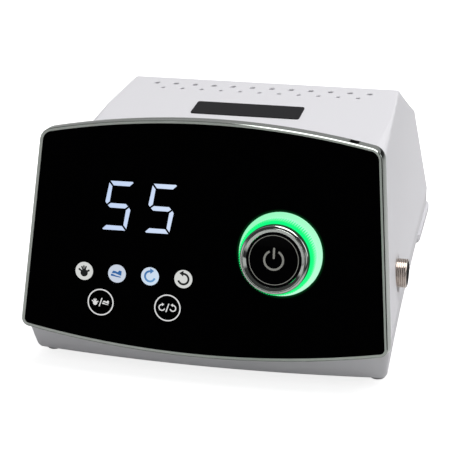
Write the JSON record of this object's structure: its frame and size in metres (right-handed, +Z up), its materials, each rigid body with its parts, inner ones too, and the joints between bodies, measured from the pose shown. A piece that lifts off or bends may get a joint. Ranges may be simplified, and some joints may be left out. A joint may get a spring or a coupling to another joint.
{
  "type": "dental micromotor control unit",
  "caption": "Table-top dental micromotor console with a leaning black glass fascia in a chrome rim, speed display, touch keys, lit push-and-turn knob and a side handpiece socket.",
  "frame": {"origin": "middle of the overall box, on the table under the feet", "axes": "+X to the right seen from the front, +Y to the back, +Z up; the fascia faces -Y and leans back"},
  "size_m": [0.1928, 0.2652, 0.1336],
  "materials": {
    "housing_white": "fine satin moulding texture",
    "chrome": "bright plated plastic",
    "black_glass": "back-painted gloss black",
    "badge_grey": "smooth plain plate",
    "black_plastic": "black moulded plastic",
    "gloss_black": "gloss black with a printed silver circle",
    "foot_rubber": "dark grey rubber",
    "steel": "zinc-plated steel",
    "nickel": "nickel-plated brass",
    "board_green": "solder-masked glass fibre board",
    "digit_light": "lit segment film",
    "lamp_white": "milky diffuser",
    "ring_light": "milky ring lit green from behind",
    "knob_tint": "clear knurled plastic lit from below",
    "contact_gold": "gold-flashed contact",
    "encoder_metal": "varnished steel",
    "coil_tape": "taped copper winding",
    "sink_aluminium": "extruded",
    "fuse_glass": "glass tube fuse",
    "rocker_red": "moulded rocker",
    "can_blue": "sleeved can",
    "ribbon_grey": "flat cable"
  },
  "bodies": {
    "console": {"upper_shell": "housing_white", "base_tray": "housing_white", "front_bezel": "chrome", "front_panel": "black_glass", "badge_plate": "badge_grey", "panel_frame": "black_plastic", "front_foot_left": "foot_rubber", "front_foot_right": "foot_rubber", "rear_pad_left": "foot_rubber", "rear_pad_right": "foot_rubber", "case_screws": "steel", "display_board": "board_green", "board_screws": "steel", "tens_digit": "black_plastic", "units_digit": "black_plastic", "tens_segments": "digit_light", "units_segments": "digit_light", "hand_lens": "lamp_white", "pedal_lens": "lamp_white", "forward_lens": "lamp_white", "reverse_lens": "lamp_white", "indicator_leds": "lamp_white", "mode_key_pad": "contact_gold", "direction_key_pad": "contact_gold", "light_ring": "ring_light", "ring_leds": "lamp_white", "encoder_body": "encoder_metal", "socket_shell": "nickel", "socket_insert": "black_plastic", "socket_contacts": "contact_gold", "socket_nut": "nickel", "rear_plate": "black_plastic", "rear_plate_screws": "steel", "mains_inlet": "black_plastic", "inlet_pins": "steel", "switch_frame": "black_plastic", "foot_jack": "black_plastic", "foot_jack_nut": "nickel", "main_board": "board_green", "main_board_screws": "steel", "transformer_core": "encoder_metal", "transformer_coil": "coil_tape", "transformer_screws": "steel", "heat_sink": "sink_aluminium", "power_transistors": "black_plastic", "filter_capacitors": "can_blue", "display_ribbon": "ribbon_grey"},
    "push_stage": {"switch_plunger": "black_plastic"},
    "knob": {"encoder_shaft": "steel", "knob_body": "knob_tint", "knob_ring": "chrome", "knob_cap": "gloss_black"},
    "rocker": {"switch_rocker": "rocker_red"},
    "drawer": {"fuse_drawer": "black_plastic", "fuse": "fuse_glass"}
  },
  "joints": [
    {"name": "knob_push", "type": "slide", "parent": "console", "child": "push_stage", "axis": [0, 0.9659, -0.2588], "range_m": [0, 0.0008], "stiffness_N_per_m": 3000, "springref_m": -0.0008},
    {"name": "knob_turn", "type": "hinge", "parent": "push_stage", "child": "knob", "pos_m": [0.0395, -0.11041, 0.07138], "axis": [0, -0.9659, 0.2588], "continuous": true},
    {"name": "power_rocker", "type": "hinge", "parent": "console", "child": "rocker", "pos_m": [0.008, 0.12596, 0.035], "axis": [1, 0, 0], "range_deg": [0, 18]},
    {"name": "fuse_drawer_slide", "type": "slide", "parent": "console", "child": "drawer", "axis": [0, 1, 0], "range_m": [0, 0.018]}
  ]
}
